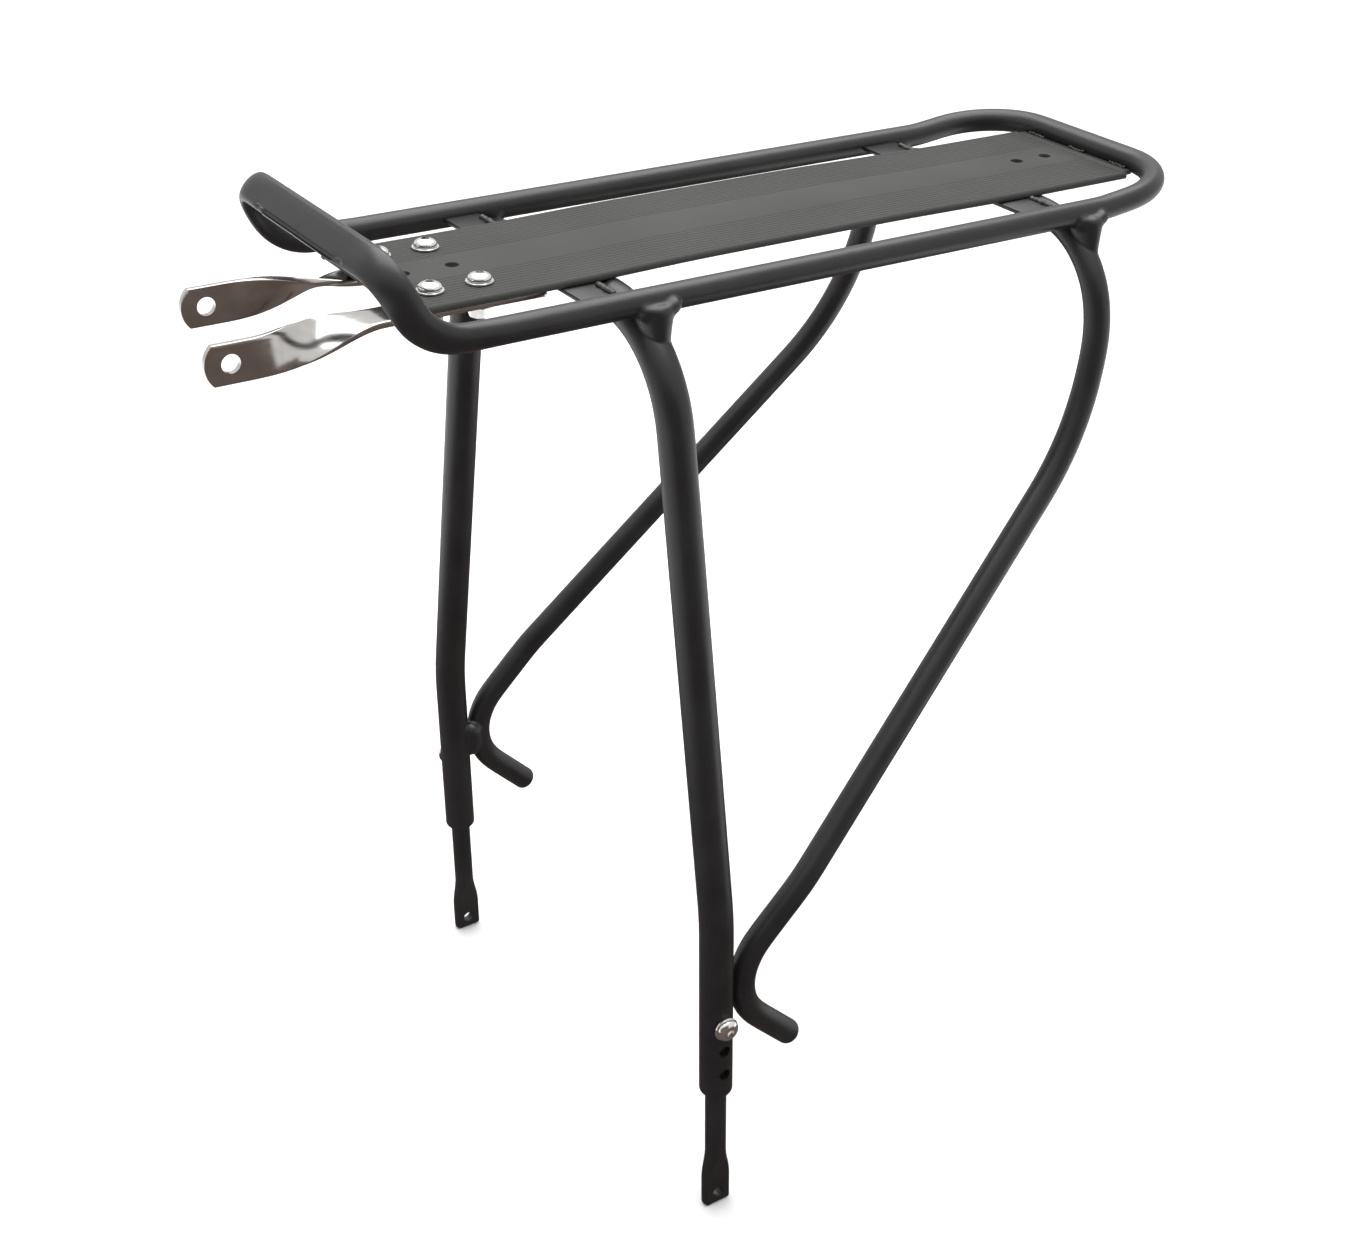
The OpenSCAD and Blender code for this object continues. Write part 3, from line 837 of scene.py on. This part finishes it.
def copies(name, piece, matrices):
    """One piece made of a copy of the given one at each matrix."""
    out = []
    for matrix in matrices:
        o = piece.copy()
        o.data = piece.data.copy()
        bpy.context.scene.collection.objects.link(o)
        place(o, matrix)
        out.append(o)
    bpy.data.objects.remove(piece)
    return joined(name, out)


def at_clamp(side):
    """The top adjuster hole's seat on the outside of a leg."""
    return axis_matrix(side) @ at(0, LEG_R, CLAMP_Z) @ Matrix.Rotation(-math.pi / 2, 4, "X")


def at_deck_screws(z):
    spots = [(x, y) for x in SCREW_ROWS for y in (-SCREW_Y, SCREW_Y)]
    turns = (0.4, 1.3, 2.1, 0.9)
    return [at(x, y, z) @ Matrix.Rotation(a, 4, "Z") for (x, y), a in zip(spots, turns)]


nut_washer_z = ARM_TOP - ARM_T - PLAY - WASHER_T
for name, piece, z, mat, slot, node in (
        ("deck_screws_domed", screw(14.6), DECK_TOP + WASHER_T, NICKEL, "screw", "deck_screws"),
        ("deck_head_washers_flat", washer(5.25), DECK_TOP, ZINC, "washer", "deck_head_washers"),
        ("deck_nut_washers_flat", washer(5.0), nut_washer_z, ZINC, "washer", "deck_nut_washers"),
        ("deck_nuts_hex", nut(), nut_washer_z - NUT_H, ZINC, "washer", "deck_nuts")):
    finish_piece(copies(name, piece, at_deck_screws(z)), "rack", mat, slot, node)

for label, side in SIDES:
    on_washer = at_clamp(side) @ at(0, 0, WASHER_T) @ Matrix.Rotation(0.5, 4, "Z")
    clamp_screw = copies(label + "_clamp_screw_domed", screw(LEG_R + 4, 4.8), [on_washer])
    clamp_washer = copies(label + "_clamp_washer_flat", washer(5.35), [at_clamp(side)])
    finish_piece(clamp_screw, "rack", NICKEL, "screw", label + "_clamp_screw")
    finish_piece(clamp_washer, "rack", ZINC, "washer", label + "_clamp_washer")


# ---- Struts ----

def strut_section(wide, die):
    """Round bar squeezed to a thickness of 2 x die, which spreads it to a width of 2 x wide."""
    edge = math.asin(die / STRUT_R)
    around = np.linspace(-edge, edge, 15)
    arc = np.stack([wide * np.cos(around), STRUT_R * np.sin(around)], 1)
    flat_u = np.linspace(arc[-1, 0], -arc[-1, 0], 9)[1:-1]
    flat = np.stack([flat_u, np.full(len(flat_u), die)], 1)
    return np.vstack([arc, flat, -arc, -flat])


def strut(label, side):
    """Bar on the leg's own axis, with a spade foot round its eyelet and a slot for the clamp screw."""
    bottom, corner, foot_wide, foot_half_t = -5.49, 1.5, 6.55, 2.25
    slot_top = CLAMP_Z + 2 * CLAMP_PITCH
    top = slot_top + 9
    slot_half = 2.8
    heights = list(bottom + corner * (1 - np.cos(np.linspace(0, math.pi / 2, 9))))
    heights += list(np.arange(-2.6, 27, 0.7)) + [30, 60, 90, top - 0.6, top]
    rings = []
    for z in heights:
        wide = STRUT_R + (foot_wide - STRUT_R) * (1 - float(smooth(z, 9.0, 24.0)))
        die = foot_half_t + (4.44 - foot_half_t) * float(smooth(z, 6.0, 25.0))  # the press closes to this
        if z < bottom + corner:
            wide -= corner - math.sqrt(max(corner ** 2 - (bottom + corner - z) ** 2, 0))
        if z < bottom + 0.3 or z > top - 0.3:
            wide, die = wide - 0.35, die - 0.35
        section = strut_section(wide, die)
        rings.append(np.c_[section, np.full(len(section), z)])
    bar = loft("strut", rings, sharp=32)
    cutters = [drill(0, 0, 0, 2.75, 20, along_y=True)]
    cutters += [drill(0, 0, CLAMP_Z + CLAMP_PITCH * i, slot_half, 20, along_y=True) for i in range(3)]
    cutters.append(blank((-slot_half, -10, CLAMP_Z), (slot_half, 10, slot_top)))
    cut(bar, cutters, sharp=32)
    place(bar, axis_matrix(side))
    bar.name = label + "_strut_bar"
    if side < 0:
        bar.data.flip_normals()
        shade(bar, 32)
    return finish_piece(bar, label + "_strut", COAT, "coat", label + "_strut")


for label, side in SIDES:
    strut(label, side)


# ---- Arms ----

def arm_section(half_w, edge):
    """Strip's section with rounded edges: half its width one way, half its thickness the other."""
    u, v = half_w - edge, ARM_T / 2 - edge
    points = []
    for cu, cv, start in ((u, v, 0), (-u, v, 90), (-u, -v, 180), (u, -v, 270)):
        for turn in (0, 30, 60, 90):
            a = math.radians(start + turn)
            points.append((cu + edge * math.cos(a), cv + edge * math.sin(a)))
        if start in (0, 180):
            flat_v = math.copysign(ARM_T / 2, cv)
            points += [(cu - 2 * cu * f, flat_v) for f in np.linspace(0, 1, 10)[1:-1]]
    return np.array(points)


def arm(label, side):
    """Flat strip under the deck that turns upright towards its end hole. Its own x is 0 at that hole."""
    flat_y, flat_z = SCREW_Y, ARM_TOP - ARM_T / 2
    slot_x, slot_half = (-114.7, -65.3), 2.8
    tip_r, tip_x, edge = 10.4, 9.6, 0.35
    stations = [(-123.0, 0.9), (-122.8, 0.35), (-122.3, 0.08)]  # with the softened corners' inset
    stations += [(x, 0) for x in np.arange(-121.5, -60, 4.0)]
    stations += [(x, 0) for x in np.arange(-58.5, 5.0, 0.9)]
    stations += [(tip_x - tip_r + tip_r * math.cos(a), 0) for a in np.linspace(0.94, 0.0, 22)]
    rings = []
    for x, inset in stations:
        twist = float(smooth(x, -58.0, -7.0))
        a = math.pi / 2 * twist
        half_w = ARM_W / 2 - inset
        if x > 0:
            half_w = min(half_w, math.sqrt(max(tip_r ** 2 - (x - tip_x + tip_r) ** 2, 0.0)))
        section = arm_section(max(half_w, edge + 0.02), edge)
        middle = np.array([flat_y + (ARM_END_Y - flat_y) * twist, flat_z + (ARM_END_Z - flat_z) * twist])
        w, n = np.array([math.cos(a), -math.sin(a)]), np.array([math.sin(a), math.cos(a)])
        yz = middle + section[:, :1] * w + section[:, 1:] * n
        rings.append(np.c_[np.full(len(section), x), yz[:, 0] * side, yz[:, 1]])
    strip = loft(label + "_arm_strip", rings, sharp=40)
    y = side * flat_y
    cutters = [drill(0, side * ARM_END_Y, ARM_END_Z, ARM_HOLE_R, 8, along_y=True, m=56)]
    cutters += [drill(x, y, flat_z, slot_half, 8) for x in slot_x[::-1]]
    cutters.append(blank((slot_x[0], y - slot_half, flat_z - 4), (slot_x[1], y + slot_half, flat_z + 4)))
    cut(strip, cutters, sharp=40)
    place(strip, at(ARM_ENDS[label], 0, 0))
    return finish_piece(strip, label + "_arm", STAINLESS, "arm", label + "_arm")


for label, side in SIDES:
    arm(label, side)


# ---- Floor, lights and camera ----

def floor():
    half, z = 60000.0, -6.0
    obj = mesh_object("floor", [(x, y, z) for x in (-half, half) for y in (-half, half)], [(0, 2, 3, 1)])
    mat, nt, bsdf = principled("pale_floor", (0.86, 0.86, 0.86), 0.9)
    tone = ramp(nt, noise(nt, 4, 2), [(0.0, (0.85, 0.85, 0.85)), (1.0, (0.88, 0.88, 0.88))])
    nt.links.new(tone, bsdf.inputs["Base Color"])
    obj.data.materials.append(mat)


def dark_cards():
    """Cards on the floor and behind the camera that only gloss sees, so black and polished metal
    keep their contrast."""
    ahead, across, up = np.array([0.56, 0.83, 0]), np.array([-0.83, 0.56, 0]), np.array([0, 0, 1])
    low = ((3000, -500), (3000, 2500), (250, 1900), (150, 450), (-1500, 330), (-1500, -330), (100, -400))
    wall = ((-2600, 0), (2600, 0), (2600, 1800), (-2600, 1800))
    wall_far = 2300
    low_rings = [[a * ahead + r * across + z * up for a, r in low] for z in (-5.9, -5.6)]
    wall_rings = [[(wall_far + d) * ahead + r * across + z * up for r, z in wall] for d in (0, 1)]
    mat = bpy.data.materials.new("card")
    mat.use_nodes = True
    nt = mat.node_tree
    nt.nodes.clear()
    out, glow = nt.nodes.new("ShaderNodeOutputMaterial"), nt.nodes.new("ShaderNodeEmission")
    tone = ramp(nt, noise(nt, 1.1, 2), [(0.3, (0.10, 0.075, 0.065)), (0.7, (0.22, 0.18, 0.16))])
    nt.links.new(tone, glow.inputs["Color"])
    nt.links.new(glow.outputs["Emission"], out.inputs["Surface"])
    for name, rings in (("low_card", low_rings), ("front_card", wall_rings)):
        card = loft(name, rings)
        card.data.materials.append(mat)
        card.visible_camera = False
        card.visible_diffuse = False
        card.visible_shadow = False
        card.visible_transmission = False


def studio_world():
    """White overhead, a little darker at the horizon."""
    world = bpy.data.worlds.new("studio")
    world.use_nodes = True
    nt = world.node_tree
    co = nt.nodes.new("ShaderNodeTexCoord")
    xyz = nt.nodes.new("ShaderNodeSeparateXYZ")
    nt.links.new(co.outputs["Generated"], xyz.inputs["Vector"])
    sky = ramp(nt, xyz.outputs["Z"],
               [(0.0, (0.86, 0.86, 0.86)), (0.2, (0.90, 0.90, 0.90)), (0.8, (1.0, 1.0, 1.0))])
    nt.links.new(sky, nt.nodes["Background"].inputs["Color"])
    nt.nodes["Background"].inputs["Strength"].default_value = 0.9
    bpy.context.scene.world = world


def overhead_softbox():
    """Square soft light over the rear right of the rack. Lengths in metres, power in watts."""
    data = bpy.data.lights.new("overhead_softbox", "AREA")
    data.shape = "RECTANGLE"
    data.size, data.size_y = 2.3, 2.3
    data.energy = 64
    obj = bpy.data.objects.new("overhead_softbox", data)
    obj.location = (-0.3, -0.45, 2.1)
    aim = Vector((0, 0, 0.3)) - obj.location
    obj.rotation_mode = "QUATERNION"
    obj.rotation_quaternion = aim.to_track_quat("-Z", "Y")
    bpy.context.scene.collection.objects.link(obj)


def photo_camera():
    """The photograph's own view, solved from its rails, legs and tube circles."""
    data = bpy.data.cameras.new("camera")
    data.sensor_fit = "HORIZONTAL"
    data.sensor_width = 36.0
    data.lens = 55.906
    data.shift_x, data.shift_y = -0.00665, -0.0129
    data.clip_start, data.clip_end = 0.01, 50
    camera = bpy.data.objects.new("camera", data)
    right = Vector((-0.8378949, 0.5453345, 0.0232904))
    down = Vector((0.2450029, 0.4138859, -0.8767394))
    ahead = Vector((-0.4877558, -0.7289093, -0.4804014))
    turn = Matrix((right, -down, -ahead)).transposed().to_4x4()
    camera.matrix_world = Matrix.Translation((0.39118, 0.66094, 0.65117)) @ turn
    bpy.context.scene.collection.objects.link(camera)
    bpy.context.scene.camera = camera


floor()
dark_cards()
studio_world()
overhead_softbox()
photo_camera()
bpy.context.scene.view_settings.view_transform = "Standard"
